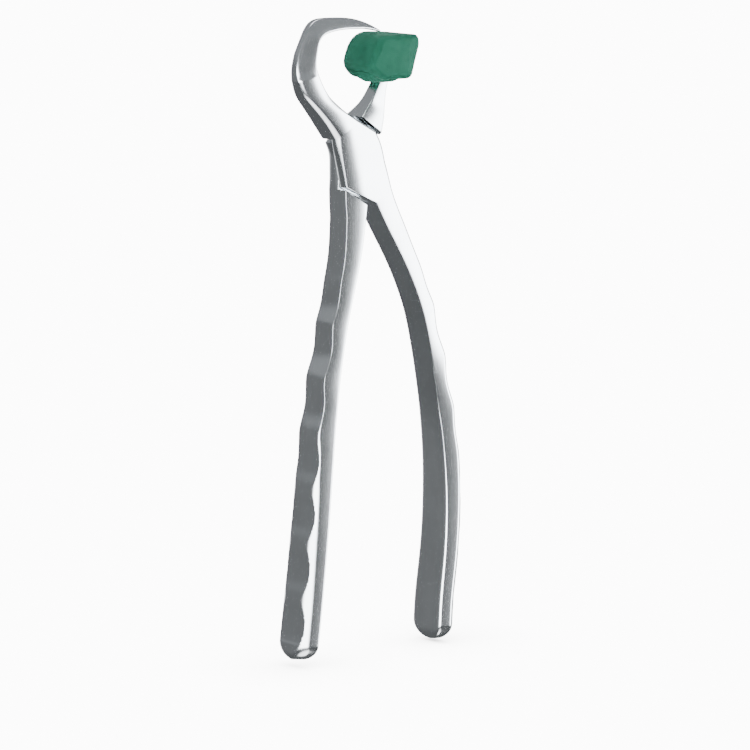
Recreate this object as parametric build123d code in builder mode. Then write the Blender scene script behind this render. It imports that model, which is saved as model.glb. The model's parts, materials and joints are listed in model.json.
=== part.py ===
from build123d import *
from math import radians, tan
import os

# Extraction forceps with a hooked beak on one lever and a padded bumper on the other.
# Frame: origin on the pivot axis at the joint's front face, +X to the bumper side, +Y through
# the joint to the back, +Z up to the working end. Millimetres. The jaws stand part open.

# Joint
JOINT_THICKNESS = 9.0     # both lap plates together
LAP_GAP = 0.1             # running gap between the two lap plates
JOINT_BEVEL = 0.7         # bevel where a handle leaves the joint

# Pivot screw: head flush at the back, thread blind in the beak lever
SHANK_RADIUS = 2.6
HEAD_RADIUS = 3.8
HEAD_THICKNESS = 1.5
HEAD_SINK = 0.1           # how far the head sits under the back face
THREAD_RADIUS = 2.2
THREAD_DEPTH = 3.2
RUNNING_CLEARANCE = 0.05
THREAD_CLEARANCE = 0.02
SLOT_WIDTH = 0.9
SLOT_DEPTH = 0.7

# Handles
BUMPER_HANDLE = 139.0     # drop from the pivot to the end of the bumper lever's handle
BEAK_HANDLE = 140.4       # the same for the beak lever, which is bowed
GRIP_WIDTH = 13.4         # front to back at the palm
GRIP_THICKNESS = 5.6
WAIST_THICKNESS = 5.1     # the slimmest stretch, between the joint and the grip
NECK_THICKNESS = 6.6      # where the handle leaves the joint
END_ROUND = 5.0           # height of the rounded handle end
GRIP_BEVEL = 1.6          # bevel on the outer edges of the grip
INNER_BEVEL = 0.6
SCALLOP_PITCH = 15.5
SCALLOP_DEPTH = 0.9
SCALLOP_START = 38.0      # first groove's middle, along the handle from the joint
SCALLOP_COUNT = 6

# Working end
HOOK_TOP_WIDTH = 4.4      # front to back over the hook's arch
TIP_WIDTH = 1.8
ARM_WIDTH = 4.3           # bumper arm, front to back, where it enters the guard

# Bumper foot and its silicone guard: a block whose sides lean with the arm
GUARD_WIDTH = 14.6        # side to side
GUARD_HEIGHT = 12.0
GUARD_Y = 16.4            # front to back
GUARD_BOTTOM = 23.1       # height above the pivot
GUARD_SPOT = 6.3          # middle of the guard's underside, across from the pivot
GUARD_LEAN = 20.0         # degrees
GUARD_BEVEL = 4.2         # cut off the lower corner that faces the hook
GUARD_ROUND = 2.2
GUARD_WALL = 2.4
GUARD_CLEARANCE = 0.05

MIDDLE = JOINT_THICKNESS / 2
PLATE = MIDDLE - LAP_GAP / 2
GUARD_TOP = GUARD_BOTTOM + GUARD_HEIGHT   # the beak closes over it, so the hook is drawn from here
ARM_TOP = GUARD_BOTTOM + GUARD_WALL + 0.5
FAR = 60.0                # past every edge of the working end
HANDLE_TOP = -15.5        # height where the handles start
front = Plane.XZ
back = Plane.XZ.offset(-JOINT_THICKNESS)


def handle_line(places, drop):
    """A smooth line down the middle of a handle, from (x, share of the way down) places."""
    reach = drop + HANDLE_TOP
    with BuildLine() as line:
        Spline([(x, MIDDLE, HANDLE_TOP - share * reach) for x, share in places])
    return line.edges()[0]


def outward(line, share, side):
    """The direction out of the handle's outer face, square to its line; side is 1 or -1 in X."""
    run = line % share
    return Vector(-run.Z, 0, run.X) * side


def handle_plane(line, share, side):
    """A plane square to the handle's line, with x out of the handle's outer face."""
    return Plane(origin=line @ share, x_dir=outward(line, share, side), z_dir=line % share)


def handle(line, side):
    """Eight-sided sections blended down the line: thick at the joint, wide at the grip."""
    stations = ((0, 0, NECK_THICKNESS), (0.11, 0, WAIST_THICKNESS), (0.26, 0, WAIST_THICKNESS),
                (0.42, 0.18, GRIP_THICKNESS), (0.55, 0.5, GRIP_THICKNESS), (0.67, 0.75, GRIP_THICKNESS),
                (0.79, 0.88, GRIP_THICKNESS), (0.91, 1, GRIP_THICKNESS), (1, 1, GRIP_THICKNESS))
    sections = []
    for share, grown, thickness in stations:
        half = thickness / 2
        width = MIDDLE + (GRIP_WIDTH / 2 - MIDDLE) * grown
        bevel = JOINT_BEVEL + (GRIP_BEVEL - JOINT_BEVEL) * grown
        with BuildSketch(handle_plane(line, share, side)) as section:
            with BuildLine():
                Polyline(
                    (half, -width + bevel), (half, width - bevel), (half - bevel, width),
                    (INNER_BEVEL - half, width), (-half, width - INNER_BEVEL),
                    (-half, INNER_BEVEL - width), (INNER_BEVEL - half, -width), (half - bevel, -width),
                    close=True,
                )
            make_face()
        sections.append(section.sketch)
    loft(sections)


def scallops(line, side):
    """Rods laid across the outer face, whose undersides hollow the finger grooves."""
    radius = (SCALLOP_PITCH ** 2 / 8 + SCALLOP_DEPTH ** 2 / 2) / SCALLOP_DEPTH
    for number in range(SCALLOP_COUNT):
        share = (SCALLOP_START + number * SCALLOP_PITCH) / line.length
        lift = GRIP_THICKNESS / 2 + radius - SCALLOP_DEPTH
        with Locations(Plane(origin=line @ share + outward(line, share, side) * lift, z_dir=(0, 1, 0))):
            Cylinder(radius, GRIP_WIDTH * 2, mode=Mode.SUBTRACT)


def round_end(drop):
    """Rounds the handle's end as an ellipse, seen from the side."""
    with BuildSketch(Plane.YZ.offset(-FAR)) as waste:
        with Locations((MIDDLE, -drop)):
            Rectangle(GRIP_WIDTH * 2, 2 * END_ROUND)
        with Locations((MIDDLE, END_ROUND - drop)):
            Ellipse(GRIP_WIDTH / 2, END_ROUND, mode=Mode.SUBTRACT)
    extrude(waste.sketch, amount=2 * FAR, mode=Mode.SUBTRACT)


def slim(places, top_width):
    """Cuts a lever's working end to its width from the side: full at the joint, slim above."""
    with BuildSketch(Plane.YZ.offset(-FAR)) as profile:
        with BuildLine():
            near = Spline([(MIDDLE - half, z) for half, z in places], tangents=((0, 1), (0, 1)))
            far = Spline([(MIDDLE + half, z) for half, z in places], tangents=((0, 1), (0, 1)))
            Polyline(near @ 1, (MIDDLE - top_width / 2, FAR), (MIDDLE + top_width / 2, FAR), far @ 1)
            Polyline(near @ 0, (0, -FAR), (JOINT_THICKNESS, -FAR), far @ 0)
        make_face()
    extrude(profile.sketch, amount=2 * FAR, mode=Mode.INTERSECT)


def guard_outline(inset):
    """The guard's leaning outline seen from the front, drawn in by inset, corners rounded."""
    shift = GUARD_HEIGHT * tan(radians(GUARD_LEAN))
    rise = GUARD_BEVEL * tan(radians(GUARD_LEAN))
    left, right = GUARD_SPOT - GUARD_WIDTH / 2, GUARD_SPOT + GUARD_WIDTH / 2
    with BuildSketch(front.offset(-MIDDLE)) as outline:
        with BuildLine():
            Polyline((left + GUARD_BEVEL, GUARD_BOTTOM), (right, GUARD_BOTTOM), (right + shift, GUARD_TOP),
                     (left + shift, GUARD_TOP), (left + rise, GUARD_BOTTOM + GUARD_BEVEL), close=True)
        make_face()
        offset(amount=-inset)
        fillet(outline.vertices(), GUARD_ROUND)
    return outline.sketch


beak_line = handle_line([(9.2, 0), (15.4, 0.09), (22.2, 0.205), (26.3, 0.32), (31.4, 0.56), (31.9, 0.68),
                         (31.0, 0.8), (29.3, 0.91), (28.7, 1)], BEAK_HANDLE)
bumper_line = handle_line([(-3.4, 0), (-4.5, 0.08), (-7.6, 0.185), (-13.3, 0.405), (-17.0, 0.64),
                           (-20.4, 0.86), (-22.7, 1)], BUMPER_HANDLE)

# Beak lever: hook, front lap plate and right handle, one forging
with BuildPart() as beak_lever:
    with BuildSketch(front):
        with BuildLine():
            outer = Spline((-10.2, 6.8), (-14.4, 12.3), (-19.8, 18.5), (-22.3, GUARD_TOP - 9.7),
                           (-21.2, GUARD_TOP - 3.9), (-17.2, GUARD_TOP + 3.3))
            crown = Spline(outer @ 1, (-15.6, GUARD_TOP + 4.8), (-12.4, GUARD_TOP + 5.4), (-4.6, GUARD_TOP + 5.2),
                           (2.4, GUARD_TOP + 3.7), (7.9, GUARD_TOP + 1.3))
            tip = Line(crown @ 1, (7.7, GUARD_TOP + 0.8))
            under = Spline(tip @ 1, (3.4, GUARD_TOP + 1.6), (-4.2, GUARD_TOP + 2), (-11.4, GUARD_TOP + 1.4))
            inner = Spline(under @ 1, (-14.9, GUARD_TOP - 0.9), (-16.1, GUARD_TOP - 6.7),
                           (-15.6, GUARD_TOP - 9.9), (-12.4, 19.2), (-6.3, 13.9))
            Polyline(inner @ 1, (-2.9, 12.1), outer @ 0)
        make_face()
    extrude(amount=-JOINT_THICKNESS)
    slim([(MIDDLE, 13), (MIDDLE * 0.73, 18), (HOOK_TOP_WIDTH * 0.6, 26), (HOOK_TOP_WIDTH / 2, 36)],
         HOOK_TOP_WIDTH)
    # The tip narrows to a point, seen from above
    with BuildSketch(Plane.XY):
        with BuildLine():
            Polyline((-FAR, -FAR), (-6, MIDDLE - HOOK_TOP_WIDTH / 2), (8, MIDDLE - TIP_WIDTH / 2),
                     (8, MIDDLE + TIP_WIDTH / 2), (-6, MIDDLE + HOOK_TOP_WIDTH / 2), (-FAR, FAR), close=True)
        make_face()
    extrude(amount=FAR, mode=Mode.INTERSECT)
    # Front lap plate, and the full thickness under the rear plate of the other lever
    neck = handle_plane(beak_line, 0, 1)
    neck_out = neck.from_local_coords((NECK_THICKNESS / 2, 0, 0))
    neck_in = neck.from_local_coords((-NECK_THICKNESS / 2, 0, 0))
    with BuildSketch(front):
        with BuildLine():
            Polyline((-10.2, 6.8), (-8.2, -1.4), (-7.0, -6.7), (3.3, -11.9), (neck_in.X, neck_in.Z),
                     (neck_out.X, neck_out.Z), (9.6, -8.3), (7.0, 0), (5.1, 6.2), (3.7, 8.6), (-6.3, 13.9),
                     close=True)
        make_face()
    extrude(amount=-PLATE)
    with BuildSketch(front):
        with BuildLine():
            Polyline((3.3, -11.9), (3.3, -10.5), (8.6, -6.5), (9.6, -8.3), (neck_out.X, neck_out.Z),
                     (neck_in.X, neck_in.Z), close=True)
        make_face()
    extrude(amount=-JOINT_THICKNESS)
    handle(beak_line, 1)
    scallops(beak_line, 1)
    round_end(BEAK_HANDLE)
    with BuildSketch(front.offset(-PLATE)):
        Circle(THREAD_RADIUS + THREAD_CLEARANCE)
    extrude(amount=THREAD_DEPTH, mode=Mode.SUBTRACT)

# Bumper lever: left handle, rear lap plate, arm and the foot inside the guard, one forging
with BuildPart() as bumper_lever:
    with BuildSketch(front):
        with BuildLine():
            left = Spline((-1.2, 13.4), (1.5, 15.4), (3.3, 17.3), (4.7, 19.4), (6.8, 23.0))
            top = Polyline(left @ 1, (7.6, ARM_TOP), (10.8, ARM_TOP), (9.8, 22.6))
            right = Spline(top @ 1, (8.4, 17.6), (7.4, 12.9), (6.0, 8.5))
            Line(right @ 1, left @ 0)
        make_face()
    extrude(amount=-JOINT_THICKNESS)
    slim([(MIDDLE, 9.5), (MIDDLE * 0.68, 13.6), (ARM_WIDTH / 2, 20)], ARM_WIDTH)
    extrude(guard_outline(GUARD_WALL), amount=GUARD_Y / 2 - GUARD_WALL, both=True)
    neck = handle_plane(bumper_line, 0, -1)
    neck_out = neck.from_local_coords((NECK_THICKNESS / 2, 0, 0))
    neck_in = neck.from_local_coords((-NECK_THICKNESS / 2, 0, 0))
    with BuildSketch(back):
        with BuildLine():
            Polyline((-8.6, 5.6), (-1.2, 12.2), (5.5, 12.2), (6.0, 8.5), (7.2, 4), (7.5, -2),
                     (6.8, -6.2), (0.3, -12.3), (neck_in.X, neck_in.Z), (neck_out.X, neck_out.Z), (-6.9, -6),
                     (-7.0, 1.5), close=True)
        make_face()
    extrude(amount=PLATE)
    with BuildSketch(front):
        with BuildLine():
            Polyline((-6.95, -7.4), (0.3, -12.3), (neck_in.X, neck_in.Z), (neck_out.X, neck_out.Z), close=True)
        make_face()
    extrude(amount=-JOINT_THICKNESS)
    handle(bumper_line, -1)
    scallops(bumper_line, -1)
    round_end(BUMPER_HANDLE)
    with BuildSketch(back):
        Circle(SHANK_RADIUS + RUNNING_CLEARANCE)
    extrude(amount=PLATE, mode=Mode.SUBTRACT)
    with BuildSketch(back):
        Circle(HEAD_RADIUS + RUNNING_CLEARANCE)
    extrude(amount=HEAD_THICKNESS + HEAD_SINK + RUNNING_CLEARANCE, mode=Mode.SUBTRACT)

# Pivot screw, turned, with a slot across its head
with BuildPart() as joint_screw:
    with BuildSketch(back.offset(HEAD_SINK)):
        Circle(HEAD_RADIUS)
    extrude(amount=HEAD_THICKNESS)
    with BuildSketch(back.offset(HEAD_SINK)):
        Circle(SHANK_RADIUS)
    extrude(amount=PLATE - HEAD_SINK)
    with BuildSketch(back.offset(HEAD_SINK)):
        Circle(THREAD_RADIUS)
    extrude(amount=PLATE + LAP_GAP + THREAD_DEPTH - HEAD_SINK - THREAD_CLEARANCE)
    with BuildSketch(back.offset(HEAD_SINK)):
        Rectangle(HEAD_RADIUS * 3, SLOT_WIDTH, rotation=30)
    extrude(amount=SLOT_DEPTH, mode=Mode.SUBTRACT)

# Bumper guard: a silicone sleeve stretched over the foot, open below where the arm enters
with BuildPart() as bumper_guard:
    extrude(guard_outline(0), amount=GUARD_Y / 2, both=True)
    fillet(bumper_guard.faces().filter_by(Axis.Y).edges(), GUARD_ROUND)
    extrude(guard_outline(GUARD_WALL - GUARD_CLEARANCE), amount=GUARD_Y / 2 - GUARD_WALL + GUARD_CLEARANCE,
            both=True, mode=Mode.SUBTRACT)
    with BuildSketch(Plane.XY.offset(GUARD_BOTTOM - 1)):
        with Locations((8.8, MIDDLE)):
            Rectangle(4.8, ARM_WIDTH + 0.6)
    extrude(amount=GUARD_WALL + 2, mode=Mode.SUBTRACT)

os.makedirs("parts", exist_ok=True)
for name, piece in (("beak_lever", beak_lever), ("bumper_lever", bumper_lever), ("joint_screw", joint_screw),
                    ("bumper_guard", bumper_guard)):
    piece.part.label = name
    export_step(piece.part, f"parts/{name}.step")
    print(name, len(piece.part.solids()), round(piece.part.volume, 1))
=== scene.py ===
import bmesh
import bpy
import json
import math
import numpy as np
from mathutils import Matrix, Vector


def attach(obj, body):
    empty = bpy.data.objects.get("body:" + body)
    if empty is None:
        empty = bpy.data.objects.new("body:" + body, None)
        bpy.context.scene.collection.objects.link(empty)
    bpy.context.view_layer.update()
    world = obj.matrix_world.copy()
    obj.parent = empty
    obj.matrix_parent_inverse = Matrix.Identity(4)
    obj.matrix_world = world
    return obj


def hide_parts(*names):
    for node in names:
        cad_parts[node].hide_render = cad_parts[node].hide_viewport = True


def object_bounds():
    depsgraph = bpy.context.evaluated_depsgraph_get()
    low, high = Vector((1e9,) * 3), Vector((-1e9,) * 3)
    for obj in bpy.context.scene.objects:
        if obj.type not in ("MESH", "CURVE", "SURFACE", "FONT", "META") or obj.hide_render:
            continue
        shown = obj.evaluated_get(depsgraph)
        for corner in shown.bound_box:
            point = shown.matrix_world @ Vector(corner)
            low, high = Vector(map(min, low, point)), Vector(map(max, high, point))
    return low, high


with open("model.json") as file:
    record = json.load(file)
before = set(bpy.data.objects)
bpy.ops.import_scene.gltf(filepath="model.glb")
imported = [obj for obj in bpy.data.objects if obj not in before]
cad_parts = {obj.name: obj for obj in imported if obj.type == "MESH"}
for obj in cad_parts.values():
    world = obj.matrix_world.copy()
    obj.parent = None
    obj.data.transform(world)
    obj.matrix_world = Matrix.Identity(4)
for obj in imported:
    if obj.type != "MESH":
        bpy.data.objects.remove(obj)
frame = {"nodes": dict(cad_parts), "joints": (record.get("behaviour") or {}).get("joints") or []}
cad_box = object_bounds()


# --- Beak lever -------------------------------------------------------------------------------
# One forging of stainless steel: the hook with its pointed beak, the front lap plate and the
# bowed right handle. It is ground to shape, its edges are broken by hand, and then it is buffed.

MM = 0.001
joint_middle = frame["joints"][0]["pos_m"][1] / MM
half = joint_middle           # the joint's front face lies at y = 0, so this is half its thickness
half_gap = 0.05               # half the gap between the lap plates


def curve(rows, count):
    """Natural cubic spline through the rows by chord length, at count even steps. The bends at
    the rows solve the usual tridiagonal system; two rows give a straight run."""
    rows = np.asarray(rows, float)
    chords = np.linalg.norm(np.diff(rows[:, :4], axis=0), axis=1) + 1e-6
    knots = np.concatenate([[0], np.cumsum(chords)])
    gap = np.diff(knots)[:, None]
    slope = np.diff(rows, axis=0) / gap
    inside = np.arange(1, len(rows) - 1)
    system = np.eye(len(rows))
    system[inside, inside - 1] = gap[:-1, 0]
    system[inside, inside] = 2 * (gap[:-1, 0] + gap[1:, 0])
    system[inside, inside + 1] = gap[1:, 0]
    change = np.zeros_like(rows)
    change[1:-1] = 6 * np.diff(slope, axis=0)
    bend = np.linalg.solve(system, change)
    at = np.linspace(0, knots[-1], count)
    part = np.clip(np.searchsorted(knots, at, side="right") - 1, 0, len(rows) - 2)
    width = gap[part]
    passed, to_go = (at - knots[part])[:, None], (knots[part + 1] - at)[:, None]
    bending = (bend[part] * to_go ** 3 + bend[part + 1] * passed ** 3) / (6 * width)
    before = (rows[part] / width - bend[part] * width / 6) * to_go
    after = (rows[part + 1] / width - bend[part + 1] * width / 6) * passed
    return bending + before + after


def stretch(places, rounding, crown, front=True, back=True):
    """Section rows along one stretch of a bar, from (left x, left z, right x, right z, half depth)
    places. front and back say which faces reach the half depth, the other stops at the lap.
    rounding (left, right) and crown (fall, width) may be a pair each, or one pair for the
    stretch's start and one for its end. The rows stand about a spacing apart."""
    spacing, swell, flat = 0.35, 0.1, 0.1
    places = np.asarray(places, float)
    share = np.linspace(0, 1, len(places))[:, None]
    none = 0 * share
    ends = [np.reshape(pair, (-1, 2)) for pair in (rounding, crown)]
    rounding, crown = (pair[:1] * (1 - share) + pair[-1:] * share for pair in ends)
    near = joint_middle - places[:, 4] if front else joint_middle + half_gap + none[:, 0]
    far = joint_middle + places[:, 4] if back else joint_middle - half_gap + none[:, 0]
    rows = np.column_stack([places[:, :4], near, far, rounding, none + swell, none, none, crown, none + flat])
    step = np.diff(rows, axis=0)
    length = max(np.linalg.norm(step[:, edge], axis=1).sum() for edge in (slice(0, 2), slice(2, 4)))
    return curve(rows, max(3, int(length / spacing)))


def sections(rows):
    """Closed sections of a forged bar, one for each row of left x, z, right x, z, front y, back y,
    left rounding, right rounding, swell, left groove, right groove, crown, crown width, flat.
    A section is a rectangle. Its corners are quarter circles pressed towards their chords by flat.
    Its wide faces sink by swell times the squared share of the way to an edge. The front also
    falls away to the left, by crown times the squared share of the crown width that is left.
    The sides bow out a little and are planed off by the grooves."""
    corner_points, side_points, side_bow = 11, 10, 0.05
    # As shares of the smaller half side and of the half depth, so that a thin end stays open
    most_rounding, most_fall = 0.92, 1.2
    left, right = rows[:, 0:2], rows[:, 2:4]
    front, back, left_round, right_round, swell, left_groove, right_groove, crown, reach, flat = (
        column[:, None] for column in rows[:, 4:].T)
    across = np.linalg.norm(right - left, axis=1)[:, None] / 2
    deep = (back - front) / 2
    turn = np.linspace(0, 1, corner_points)
    outer = (1 - flat) * np.cos(turn * math.pi / 2) + flat * (1 - turn)
    corners = []
    for side, face in ((1, -1), (1, 1), (-1, 1), (-1, -1)):
        radius = np.minimum(right_round if side > 0 else left_round, most_rounding * np.minimum(across, deep))
        a, b = (outer[:, ::-1], outer) if side * face < 0 else (outer, outer[:, ::-1])
        a, b = side * (across - radius + radius * a), face * (deep - radius + radius * b)
        corners.append(np.stack([a, b], axis=2))
    share = np.linspace(0, 1, side_points + 2)[1:-1][None, :, None]
    parts = []
    for corner, following in zip(corners, corners[1:] + corners[:1]):
        parts += [corner, corner[:, -1:] * (1 - share) + following[:, :1] * share]
    ring = np.concatenate(parts, axis=1)
    a, b = ring[..., 0], ring[..., 1]
    fall = np.clip(1 - (across + a) / reach, 0, 1) ** 2 - np.clip(1 - 2 * across / reach, 0, 1) ** 2
    fall = np.minimum(crown * fall, most_fall * deep) * np.clip(-b / deep, 0, 1)
    sink = swell * (a / across) ** 2 * np.clip(np.abs(b) / deep, 0, 1)
    y = (front + back) / 2 + b - np.sign(b) * sink + fall
    a = np.clip(a * (1 - side_bow * (b / deep) ** 2), left_groove - across, across - right_groove)
    centre, way = (left + right) / 2, (right - left) / 2 / across
    return np.stack([centre[:, :1] + way[:, :1] * a, y, centre[:, 1:] + way[:, 1:] * a], axis=2)


def handle_rows(middles, drop, side):
    """Section rows down a handle, the left one for side -1 and the right one for 1. Its middle
    line is a spline through (x, share of the way down) places, and its edges stand half a
    thickness off it, square to the line. The grip deepens downwards and ends in a rounded end.
    Finger grooves repeat as raised cosines. Higher up they move the whole outer edge, lower down
    they cut into it and into its broad bevel."""
    top, grip_half, end_length, end_thick = -15.5, 6.7, 5.0, 0.55
    # Lengths from the top of the handle; the grooves stop some pitches past the first full one
    groove_depth, pitch, first_groove, pitches = 1.0, 15.5, 38.0, 5.6
    line = curve([(x, top - share * (drop + top), 0, 0) for x, share in middles], 420)[:, :2]
    way = np.gradient(line, axis=0)
    way /= np.linalg.norm(way, axis=1)[:, None]
    outward = np.stack([-way[:, 1], way[:, 0]], axis=1) * side
    length = np.concatenate([[0], np.cumsum(np.linalg.norm(np.diff(line, axis=0), axis=1))])
    share = length / length[-1]
    none = 0 * share
    blur = np.hanning(61) / np.hanning(61).sum()

    def along(stops, values):
        """Values at stops down the handle, joined by straight runs and smoothed."""
        return np.convolve(np.pad(np.interp(share, stops, values), 30, mode="edge"), blur, mode="valid")

    phase = (length - first_groove) / pitch
    groove = groove_depth * (0.5 + 0.5 * np.cos(2 * math.pi * phase)) ** 0.8
    groove *= np.clip((phase + 1.3) / 0.8, 0, 1) * np.clip((pitches - phase) / 0.3, 0, 1)
    carved = groove * along([0.45, 0.6], [0, 1])
    to_end = np.clip((drop + line[:, 1]) / end_length, 0, 1)
    oval = np.sqrt(np.clip(1 - (1 - to_end) ** 2, 0.0004, 1))
    thick = along([0, 0.11, 0.26, 0.42, 1], [6.6, 5.1, 5.1, 5.6, 5.6]) * (end_thick + (1 - end_thick) * oval)
    widened = along([0.26, 0.42, 0.55, 0.67, 0.79, 0.91], [0, 0.18, 0.5, 0.75, 0.88, 1])
    deep = (half + (grip_half - half) * widened) * oval
    inner = line - outward * thick[:, None] / 2
    outer = line + outward * (thick / 2 - groove + carved)[:, None]
    if side < 0:
        left, right, left_groove, right_groove = outer, inner, carved, none
        left_round, right_round = along([0, 0.45, 0.62, 0.9], [0.08, 0.08, 1.8, 2.7]), none + 0.5
        crown, reach = along([0, 0.35, 0.5, 0.85], [1.4, 1.4, 2.6, 3.4]), along([0, 0.35, 0.5], [11, 11, 20])
        flat = along([0, 0.45, 0.62], [0, 0, 0.3])
    else:
        left, right, left_groove, right_groove = inner, outer, none, carved
        left_round = along([0, 0.55, 0.7, 0.9], [0.06, 0.08, 0.25, 0.45])
        right_round = along([0, 0.45, 0.62, 0.9], [0.9, 1.0, 1.4, 2.2])
        crown, reach = along([0, 0.28, 0.45], [0.1, 0.1, 2.7]), none + 20
        flat = along([0, 0.3, 0.5], [0.1, 0.3, 0.5])
    swell = none + 0.1
    return np.column_stack([left, right, joint_middle - deep, joint_middle + deep, left_round, right_round,
                            swell, left_groove, right_groove, crown * oval, reach, flat])


def shell(name, rings, sharp_degrees=30):
    """A closed mesh through rings of points, each joined to the next, with a fan over each end."""
    count, size = rings.shape[:2]
    middles = [rings[0].mean(axis=0)[None], rings[-1].mean(axis=0)[None]]
    points = np.concatenate([rings.reshape(-1, 3), *middles]) * MM
    i, j = np.meshgrid(np.arange(count - 1), np.arange(size), indexing="ij")
    k = (j + 1) % size
    quads = np.stack([i * size + j, i * size + k, (i + 1) * size + k, (i + 1) * size + j], axis=2)
    here, after = np.arange(size), (np.arange(size) + 1) % size
    last_ring = (count - 1) * size
    first_fan = np.stack([0 * here + count * size, after, here], axis=1)
    last_fan = np.stack([0 * here + count * size + 1, here + last_ring, after + last_ring], axis=1)
    mesh = bpy.data.meshes.new(name)
    faces = quads.reshape(-1, 4).tolist() + first_fan.tolist() + last_fan.tolist()
    mesh.from_pydata(points.tolist(), [], faces)
    work = bmesh.new()
    work.from_mesh(mesh)
    bmesh.ops.remove_doubles(work, verts=work.verts, dist=1e-7)
    bmesh.ops.recalc_face_normals(work, faces=work.faces)
    work.to_mesh(mesh)
    work.free()
    mesh.polygons.foreach_set("use_smooth", np.ones(len(mesh.polygons), bool))
    mesh.set_sharp_from_angle(angle=math.radians(sharp_degrees))
    piece = bpy.data.objects.new(name, mesh)
    bpy.context.scene.collection.objects.link(piece)
    return piece


# How far a front falls away to its left edge, and over what width. The hook's front leans towards
# its outer edge at the top and comes round to face squarely forward below
leaning, forward_facing, even = (3.3, 16.0), (1.1, 6.0), (0.1, 20.0)
hook = [
    stretch([(7.9, 36.35, 7.75, 35.95, 0.8), (5.6, 37.5, 5.6, 36.35, 1.05), (2.4, 38.8, 2.6, 36.85, 1.4),
             (-1.1, 39.8, -0.6, 37.05, 1.75), (-4.6, 40.35, -4.2, 37.1, 2.0),
             (-8.2, 40.52, -7.9, 36.95, 2.15), (-12.4, 40.5, -11.4, 36.4, 2.2),
             (-15.4, 39.9, -13.3, 35.7, 2.2), (-17.4, 38.3, -14.6, 34.5, 2.2),
             (-19.2, 35.3, -15.3, 32.7, 2.2), (-21.2, 31.2, -15.9, 29.9, 2.3)],
            rounding=(0.5, 0.4), crown=leaning),
    stretch([(-21.2, 31.2, -15.9, 29.9, 2.3), (-22.2, 26.6, -16.1, 27.0, 2.55),
             (-22.1, 23.5, -15.5, 24.9, 2.75)],
            rounding=((0.5, 0.4), (1.0, 0.5)), crown=(leaning, forward_facing)),
    stretch([(-22.1, 23.5, -15.5, 24.9, 2.75), (-21.2, 20.8, -14.3, 22.3, 3.0),
             (-19.8, 18.5, -12.5, 19.3, 3.4), (-17.6, 16.0, -10.4, 17.2, 3.8),
             (-14.6, 12.6, -7.6, 14.9, 4.3), (-12.2, 9.5, -4.9, 13.2, half), (-10.2, 6.8, -2.9, 12.1, half)],
            rounding=((1.0, 0.5), (1.6, 0.8)), crown=forward_facing),
]
plate = [
    stretch([(-10.2, 6.8, -2.9, 12.1, half), (-9.7, 4.6, 0.3, 10.4, half), (-9.1, 2.3, 3.5, 8.7, half)],
            rounding=((1.6, 0.8), (0.8, 0.8)), crown=even, back=False),
    stretch([(-9.1, 2.3, 3.5, 8.7, half), (-8.2, -1.4, 5.3, 5.6, half), (-7.0, -6.7, 6.9, 0.4, half)],
            rounding=((0.8, 0.8), (0.3, 0.9)), crown=even, back=False),
    stretch([(-7.0, -6.7, 6.9, 0.4, half), (-1.5, -9.5, 8.1, -3.6, half), (3.3, -11.6, 9.2, -7.4, half)],
            rounding=((0.2, 0.9), (0.1, 0.9)), crown=even, back=False),
]
neck = stretch([(3.3, -11.6, 9.2, -7.4, half), (4.6, -14.0, 10.4, -10.5, half)], rounding=(0.1, 0.9),
               crown=even)
beak_grip = handle_rows([(9.2, 0), (15.4, 0.09), (22.2, 0.205), (26.3, 0.32), (31.4, 0.56), (31.9, 0.68),
                         (31.0, 0.8), (29.3, 0.91), (28.7, 1)], 140.3, 1)

# The plate's front falls away towards the straight line of its left edge, as the hook's does
plate = sections(np.concatenate(plate))
edge_start, edge_way = (-10.2, 6.8), (3.2, -13.5)
from_start = plate[..., [0, 2]] - edge_start
off_edge = (from_start[..., 1] * edge_way[0] - from_start[..., 0] * edge_way[1]) / math.hypot(*edge_way)
fall, fall_width = forward_facing
plate_fall = fall * np.clip(1 - np.abs(off_edge) / fall_width, 0, 1) ** 2
plate[..., 1] += plate_fall * np.clip((joint_middle - plate[..., 1]) / half, 0, 1)

beak_lever = shell("beak_lever_polished", np.concatenate([
    sections(np.concatenate(hook)), plate, sections(np.concatenate([neck, beak_grip]))]))


def linear(code):
    """sRGB hex to linear red, green, blue, alpha."""
    value = np.array([int(code[i:i + 2], 16) for i in (1, 3, 5)]) / 255
    return (*np.where(value <= 0.04045, value / 12.92, ((value + 0.055) / 1.055) ** 2.4), 1)


def add(tree, kind, links=(), inputs=(), **settings):
    """Adds a node with its settings, its input values by socket, and its links as (socket, source)."""
    made = tree.nodes.new(kind)
    for name, value in settings.items():
        setattr(made, name, value)
    for socket, value in dict(inputs).items():
        made.inputs[socket].default_value = value
    for socket, source in links:
        tree.links.new(source, made.inputs[socket])
    return made


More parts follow.
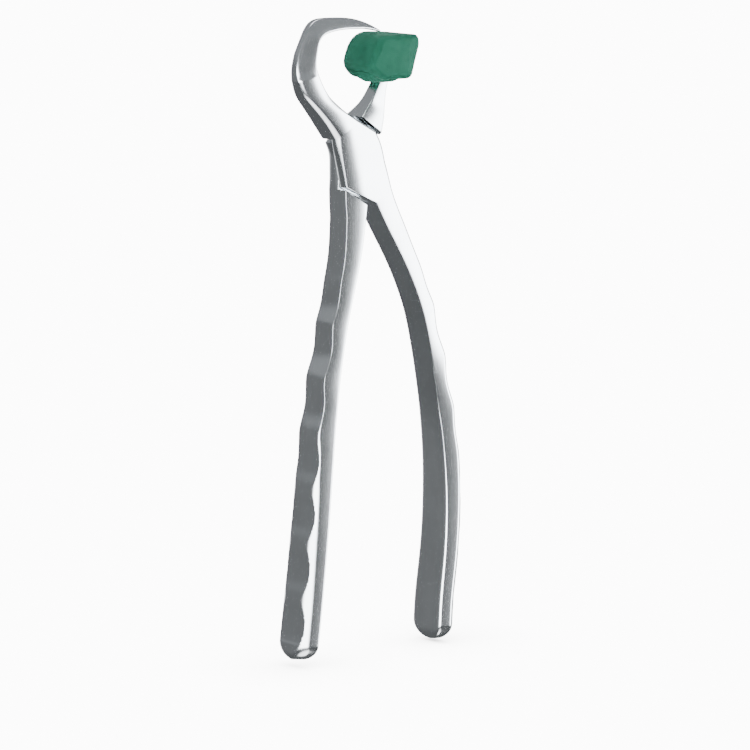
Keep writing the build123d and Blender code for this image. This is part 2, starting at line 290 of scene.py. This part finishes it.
def steel(name, code, roughness, mark_width, mark_length):
    """Bright metal with fine polishing marks. The marks are noise about mark_width wide and
    mark_length long, in millimetres, and they lift the roughness and the bump. A broad noise
    gives the slight waviness and the faint change of tone that hand buffing leaves."""
    wave_width, wave_height, mark_height, darkest = 14 * MM, 0.12 * MM, 0.003 * MM, 0.93
    material = bpy.data.materials.new(name)
    material.use_nodes = True
    tree = material.node_tree
    shader = tree.nodes["Principled BSDF"]
    shader.inputs["Metallic"].default_value = 1
    place = add(tree, "ShaderNodeTexCoord").outputs["Object"]
    per_width, per_length = 1 / (mark_width * MM), 1 / (mark_length * MM)
    squeeze = add(tree, "ShaderNodeMapping", [("Vector", place)],
                  {"Scale": (per_width, per_width, per_length)})
    marks = add(tree, "ShaderNodeTexNoise", [("Vector", squeeze.outputs[0])],
                {"Scale": 1, "Detail": 3, "Roughness": 0.6})
    broad = add(tree, "ShaderNodeTexNoise", [("Vector", place)], {"Scale": 1 / wave_width, "Detail": 2})
    gloss = add(tree, "ShaderNodeMapRange", [("Value", marks.outputs[0])],
                {"From Min": 0.3, "From Max": 0.7, "To Min": roughness * 0.8, "To Max": roughness * 1.35})
    tree.links.new(gloss.outputs[0], shader.inputs["Roughness"])
    tone = add(tree, "ShaderNodeValToRGB", [("Fac", broad.outputs[0])])
    dull, bright = tone.color_ramp.elements
    dull.position, bright.position = 0.35, 0.65
    dull.color = [channel * darkest for channel in linear(code)[:3]] + [1]
    bright.color = linear(code)
    tree.links.new(tone.outputs["Color"], shader.inputs["Base Color"])
    wave = add(tree, "ShaderNodeBump", [("Height", broad.outputs[0])],
               {"Strength": 0.5, "Distance": wave_height})
    fine = add(tree, "ShaderNodeBump", [("Height", marks.outputs[0]), ("Normal", wave.outputs[0])],
               {"Strength": 0.35, "Distance": mark_height})
    tree.links.new(fine.outputs[0], shader.inputs["Normal"])
    return material


# Buffed stainless: cool, bright, with soft-edged reflections and marks that run down the lever.
# Real marks are about a tenth as wide, and are drawn coarser so that they show
buffed_stainless = steel("buffed_stainless", "#dfe3e6", 0.15, 0.25, 5.0)
beak_lever.data.materials.append(buffed_stainless)
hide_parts("beak_lever")
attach(beak_lever, "beak_side")


# --- Bumper lever -----------------------------------------------------------------------------
# The second stainless forging: the left handle, the rear lap plate and the slim arm whose foot
# fills the guard. Same steel and finish. Its back is counterbored for the pivot screw's head.

plain = (0.1, 6.0)
arm = [
    stretch([(7.7, 26.6, 10.8, 25.8, 2.1), (6.7, 22.8, 9.8, 22.2, 2.1), (5.6, 20.8, 9.0, 20.0, 2.2),
             (4.2, 18.6, 8.5, 17.6, 2.4), (2.6, 16.5, 8.0, 15.0, 2.7), (0.9, 14.9, 7.4, 12.4, 3.2),
             (-1.5, 12.9, 5.8, 8.0, 4.1)], rounding=(0.3, 0.4), crown=plain),
    stretch([(-1.5, 12.9, 5.8, 8.0, 4.1), (-1.5, 12.75, 6.1, 7.3, 3.1)], rounding=(0.2, 0.3), crown=plain),
]
# The arm's foot is chamfered at the front, above the lap, and its back runs straight on
back_column = 5
chamfer = arm[1]
chamfer[:, back_column] = joint_middle + np.linspace(4.1, 4.4, len(chamfer))
rear_plate = [
    stretch([(-1.5, 12.75, 6.1, 7.3, 4.4), (-4.8, 9.3, 6.6, 6.0, half), (-8.5, 5.6, 7.1, 4.0, half)],
            rounding=(0.1, 0.4), crown=plain, front=False),
    stretch([(-8.5, 5.6, 7.1, 4.0, half), (-7.3, 2.6, 7.4, 1.5, half), (-7.0, -1.0, 7.5, -2.0, half),
             (-6.95, -4.5, 6.8, -6.0, half)], rounding=(0.1, 0.4), crown=plain, front=False),
    stretch([(-6.95, -4.5, 6.8, -6.0, half), (-6.95, -7.4, 0.3, -12.2, half)], rounding=(0.1, 0.4),
            crown=plain, front=False),
]
shoulder = stretch([(-6.95, -7.4, 0.3, -12.2, half), (-6.9, -11.0, 0.15, -13.9, half)], rounding=(0.08, 0.5),
                   crown=(1.4, 11.0))
bumper_grip = handle_rows([(-3.4, 0), (-4.5, 0.08), (-7.6, 0.185), (-13.3, 0.405), (-17.0, 0.64),
                           (-20.4, 0.86), (-22.7, 1)], 139.0, -1)
bumper_lever = shell("bumper_lever_polished",
                     sections(np.concatenate([*arm, *rear_plate, shoulder, bumper_grip])))


def combine(piece, tool, operation, sharp_degrees=30):
    """Takes the tool's shape out of the piece or adds it, for good, then drops the tool."""
    change = piece.modifiers.new("change", "BOOLEAN")
    change.operation, change.solver, change.object = operation, "EXACT", tool
    bpy.context.view_layer.update()
    made = bpy.data.meshes.new_from_object(piece.evaluated_get(bpy.context.evaluated_depsgraph_get()))
    piece.modifiers.clear()
    piece.data = made
    bpy.data.objects.remove(tool)
    made.polygons.foreach_set("use_smooth", np.ones(len(made.polygons), bool))
    made.set_sharp_from_angle(angle=math.radians(sharp_degrees))


# The counterbore is a round hole about the pivot, from its floor to clear of the back
bore_radius, bore_floor = 3.85, 7.35
turn = np.linspace(0, 2 * math.pi, 96, endpoint=False)
bore_circle = np.stack([bore_radius * np.cos(turn), 0 * turn, bore_radius * np.sin(turn)], axis=1)
counterbore = np.stack([bore_circle + [0, bore_floor, 0], bore_circle + [0, joint_middle + half + 1, 0]])
combine(bumper_lever, shell("counterbore", counterbore), "DIFFERENCE")
bumper_lever.data.materials.clear()
bumper_lever.data.materials.append(buffed_stainless)
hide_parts("bumper_lever")
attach(bumper_lever, "bumper_side")


# --- Joint screw ------------------------------------------------------------------------------
# Turned stainless screw that joins the levers from behind, with a slot across its flush head.
# Fine turning leaves it a little duller than the levers.

turned_stainless = steel("turned_stainless", "#cfd2d4", 0.24, 0.12, 0.12)
screw = frame["nodes"]["joint_screw"]
screw.data.materials.clear()
screw.data.materials.append(turned_stainless)


# --- Bumper guard -----------------------------------------------------------------------------
# Moulded silicone sleeve pulled over the foot. It leans with the arm, its underside narrows to a
# collar round the arm, and its far end is rounded off generously where it rests on the gum.

def rounded(corners, radii, arc_points=8, side_points=6):
    """Outlines with rounded corners. Each corner is a quadratic curve that starts and ends a
    rounding's length away along its two sides, and even points fill the sides between."""
    before, after = (np.roll(corners, shift, axis=1) - corners for shift in (1, -1))
    before, after = (way / np.linalg.norm(way, axis=2, keepdims=True) for way in (before, after))
    start, stop = (corners + way * radii[..., None] for way in (before, after))
    t = np.linspace(0, 1, arc_points)[:, None]
    arcs = (start[:, :, None] * (1 - t) ** 2 + 2 * corners[:, :, None] * t * (1 - t)
            + stop[:, :, None] * t ** 2)
    s = np.linspace(0, 1, side_points + 2)[1:-1, None]
    sides = stop[:, :, None] * (1 - s) + np.roll(start, -1, axis=1)[:, :, None] * s
    return np.concatenate([arcs, sides], axis=2).reshape(len(corners), -1, 2)


# Outlines (x, z) at the front and at the back, with a blend in between that grows faster backwards
guard_half, end_round, end_crown = 8.2, 1.7, 0.35
front_corners = np.array([(2.6, 35.2), (-1.5, 26.9), (2.9, 22.9), (14.0, 22.9), (17.5, 33.0), (16.5, 35.2)])
front_radii = np.array([1.2, 1.2, 2.2, 1.6, 1.5, 1.2])
back_corners = np.array([(3.4, 36.2), (0.2, 26.6), (3.6, 22.9), (14.0, 22.9), (17.3, 33.0), (16.5, 35.2)])
back_radii = np.array([6.6, 2.4, 2.2, 1.6, 1.5, 1.2])
quarter = np.linspace(0, math.pi / 2, 9)
straight_half = guard_half - end_crown - end_round
straight = np.linspace(-straight_half, straight_half, 26)[1:-1]
depth = np.concatenate([-straight_half - end_round * np.cos(quarter), straight,
                        straight_half + end_round * np.sin(quarter)])
inset = np.concatenate([1 - np.sin(quarter), 0 * straight, 1 - np.cos(quarter)]) * end_round
to_back = ((depth + guard_half) / (2 * guard_half))[:, None]
blend = (to_back ** 1.5)[..., None]
outline = rounded(front_corners * (1 - blend) + back_corners * blend,
                  front_radii * (1 - to_back) + back_radii * to_back)
middle = outline.mean(axis=1, keepdims=True)
from_middle = np.linalg.norm(outline - middle, axis=2, keepdims=True)
outline = middle + (outline - middle) * (1 - inset[:, None, None] / from_middle)
body_y = joint_middle + depth[:, None] + 0 * outline[..., 0]
body = np.stack([outline[..., 0], body_y, outline[..., 1]], axis=2)


def cap(ring, way):
    """Rings that close an end: the end ring shrunk in steps, bulging out as a shallow dome."""
    size = np.linspace(0.94, 0.04, 12)[:, None, None]
    rings = ring.mean(axis=0) + (ring - ring.mean(axis=0)) * size
    rings[..., 1] += way * end_crown * (1 - size[..., 0] ** 2)
    return rings


guard_rings = np.concatenate([cap(body[0], -1)[::-1], body, cap(body[-1], 1)])
# The front turns a little away along its right-hand band, past a soft crease
band_start, band_slope, band_depth = 12.3, 0.16, 4
in_front = np.clip((joint_middle - band_depth - guard_rings[..., 1]) / band_depth, 0, 1)
guard_rings[..., 1] += in_front * band_slope * np.clip(guard_rings[..., 0] - band_start, 0, None)
guard = shell("bumper_guard_silicone", guard_rings, 50)

# The collar that grips the arm: rounded outlines stacked upwards, from (z, left, right, front, back)
collar = curve([(22.1, 3.6, 10.6, -4.2, 2.6), (22.5, 2.9, 11.3, -4.9, 3.0), (23.4, 1.9, 12.0, -5.7, 4.2),
                (25.0, 0.6, 12.5, -6.2, 6.2)], 14)
collar_round = 2.6
up, left, right, front, back = collar.T
corners = np.array([(left, front), (right, front), (right, back), (left, back)]).transpose(2, 0, 1)
outline = rounded(corners, np.full(corners.shape[:2], collar_round))
collar_z = up[:, None] + 0 * outline[..., 0]
collar = np.stack([outline[..., 0], joint_middle + outline[..., 1], collar_z], axis=2)
combine(guard, shell("collar", collar), "UNION", 50)

# Moulded silicone: matt, a little waxy, faintly clouded, with the fine grain of its mould, which
# is drawn coarser than it is so that it shows
cloud_size, grain_size, grain_height = 6 * MM, 0.25 * MM, 0.02 * MM
silicone = bpy.data.materials.new("moulded_silicone")
silicone.use_nodes = True
tree = silicone.node_tree
shader = tree.nodes["Principled BSDF"]
shader.inputs["IOR"].default_value = 1.41
shader.inputs["Specular IOR Level"].default_value = 0.2
shader.inputs["Sheen Weight"].default_value = 0.05
place = add(tree, "ShaderNodeTexCoord").outputs["Object"]
cloud = add(tree, "ShaderNodeTexNoise", [("Vector", place)], {"Scale": 1 / cloud_size, "Detail": 3})
grain = add(tree, "ShaderNodeTexNoise", [("Vector", place)], {"Scale": 1 / grain_size, "Detail": 2})
colour = add(tree, "ShaderNodeValToRGB", [("Fac", cloud.outputs[0])])
deep_green, pale_green = colour.color_ramp.elements
deep_green.position, pale_green.position = 0.3, 0.7
deep_green.color, pale_green.color = linear("#379577"), linear("#42a585")
tree.links.new(colour.outputs["Color"], shader.inputs["Base Color"])
gloss = add(tree, "ShaderNodeMapRange", [("Value", grain.outputs[0])], {"To Min": 0.45, "To Max": 0.62})
tree.links.new(gloss.outputs[0], shader.inputs["Roughness"])
skin = add(tree, "ShaderNodeBump", [("Height", grain.outputs[0])],
           {"Strength": 0.3, "Distance": grain_height})
tree.links.new(skin.outputs[0], shader.inputs["Normal"])
guard.data.materials.clear()
guard.data.materials.append(silicone)
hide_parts("bumper_guard")
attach(guard, "bumper_side")


# --- Camera -----------------------------------------------------------------------------------
# Long lens, a little above the joint and from the hook's side.

azimuth, elevation, distance = math.radians(-40), math.radians(9), 1.1
away = Vector((math.sin(azimuth) * math.cos(elevation), -math.cos(azimuth) * math.cos(elevation),
               math.sin(elevation)))
target = Vector((-2.252, joint_middle - 10.289, -58.903)) * MM
camera = bpy.data.objects.new("camera", bpy.data.cameras.new("camera"))
camera.data.lens = 189.02
camera.data.sensor_width = 36
camera.location = target + away * distance
camera.rotation_euler = away.to_track_quat("Z", "Y").to_euler()
bpy.context.scene.collection.objects.link(camera)
bpy.context.scene.camera = camera


# --- Studio -----------------------------------------------------------------------------------
# A white studio: upright light panels around the tool with dark gaps between them, a soft light
# overhead and a white floor. Levels go round by the compass, from -180 to 180 degrees with the
# front at 0 and +X at 90, and are shares of the full light.

full_light, diffuse_share = 12.0, 0.2
around = [(-180, 0.2), (-168, 0.05), (-155, 0.017), (-132, 0.017), (-118, 0.024), (-90, 0.05), (-68, 0.9),
          (-36, 0.9), (-22, 0.03), (-12, 0.02), (6, 0.022), (14, 0.034), (24, 0.11), (36, 1), (56, 1),
          (76, 0.08), (130, 0.05), (158, 0.04), (172, 0.18)]
world = bpy.data.worlds.new("studio")
world.use_nodes = True
world.cycles.sampling_method = "NONE"
bpy.context.scene.world = world
tree = world.node_tree
tree.nodes.clear()
direction = add(tree, "ShaderNodeTexCoord").outputs["Generated"]
axes = add(tree, "ShaderNodeSeparateXYZ", [(0, direction)])
forward = add(tree, "ShaderNodeMath", [(0, axes.outputs["Y"])], {1: -1}, operation="MULTIPLY")
compass = add(tree, "ShaderNodeMath", [(0, axes.outputs["X"]), (1, forward.outputs[0])], operation="ARCTAN2")
turned = add(tree, "ShaderNodeMapRange", [("Value", compass.outputs[0])],
             {"From Min": -math.pi, "From Max": math.pi})
panels = add(tree, "ShaderNodeValToRGB", [("Fac", turned.outputs[0])])
while len(panels.color_ramp.elements) < len(around):
    panels.color_ramp.elements.new(0.5)
for element, (degrees, level) in zip(panels.color_ramp.elements, around):
    element.position = (degrees + 180) / 360
    element.color = (level, level * 1.02, level * 1.04, 1)

# By height come the dark table below, the dark above the panels and the soft light overhead. Each
# starts at the first height and is full at the second, in degrees above the horizon
height = add(tree, "ShaderNodeMath", [(0, axes.outputs["Z"])], operation="ARCSINE").outputs[0]
seen_light = panels.outputs["Color"]
for start, full, tone in ((-14, -26, (0.0115, 0.0119, 0.0122)), (9, 17, (0.03, 0.031, 0.032)),
                          (56, 72, (0.45, 0.45, 0.45))):
    reached = add(tree, "ShaderNodeMapRange", [("Value", height)],
                  {"From Min": math.radians(start), "From Max": math.radians(full)},
                  interpolation_type="SMOOTHSTEP")
    seen_light = add(tree, "ShaderNodeMix", [(0, reached.outputs[0]), (6, seen_light)], {7: (*tone, 1)},
                     data_type="RGBA").outputs[2]

# A white sheet low down in front, on the hook's side, from faint at 31 degrees off it to full at 12
sheet_way, sheet_level = (-0.256, -0.394, -0.883), 0.35
towards = add(tree, "ShaderNodeVectorMath", [(0, direction)], {1: sheet_way}, operation="DOT_PRODUCT")
near_sheet = add(tree, "ShaderNodeMapRange", [("Value", towards.outputs["Value"])],
                 {"From Min": math.cos(math.radians(31)), "From Max": math.cos(math.radians(12))},
                 interpolation_type="SMOOTHSTEP")
seen_light = add(tree, "ShaderNodeMix", [(0, near_sheet.outputs[0]), (6, seen_light)],
                 {7: (sheet_level, sheet_level, sheet_level, 1)}, data_type="RGBA").outputs[2]

# Matt surfaces get a share of the light, and the background itself is plain white
ray = add(tree, "ShaderNodeLightPath")
strength = add(tree, "ShaderNodeMapRange", [("Value", ray.outputs["Is Diffuse Ray"])],
               {"To Min": full_light, "To Max": full_light * diffuse_share})
light = add(tree, "ShaderNodeBackground", [("Color", seen_light), ("Strength", strength.outputs[0])])
backdrop = add(tree, "ShaderNodeBackground", (), {"Color": (1, 1, 1, 1), "Strength": full_light})
mix = add(tree, "ShaderNodeMixShader", [(0, ray.outputs["Is Camera Ray"]), (1, light.outputs[0]),
                                        (2, backdrop.outputs[0])])
add(tree, "ShaderNodeOutputWorld", [(0, mix.outputs[0])])

# White floor under the handle ends. It is not lit but glows evenly, and its glow takes the ambient occlusion
# colour, which paints a contact shadow where the handles stand on it
floor_half, floor_level = 3.0, cad_box[0].z - 0.6 * MM
floor_corners = [(x * floor_half, y * floor_half, floor_level)
                 for x, y in ((-1, -1), (1, -1), (1, 1), (-1, 1))]
floor_mesh = bpy.data.meshes.new("floor")
floor_mesh.from_pydata(floor_corners, [], [(0, 1, 2, 3)])
floor = bpy.data.objects.new("floor", floor_mesh)
bpy.context.scene.collection.objects.link(floor)
paper = bpy.data.materials.new("white_floor_painted_shadow")
paper.use_nodes = True
tree = paper.node_tree
tree.nodes.clear()
# Painted shadow: the ambient occlusion colour darkens the floor's glow near the handles
shade = add(tree, "ShaderNodeAmbientOcclusion", (), {"Distance": 30 * MM}, samples=16)
glow = add(tree, "ShaderNodeEmission", [("Color", shade.outputs["Color"])], {"Strength": full_light})
add(tree, "ShaderNodeOutputMaterial", [(0, glow.outputs[0])])
floor_mesh.materials.append(paper)
floor.visible_glossy = floor.visible_diffuse = False
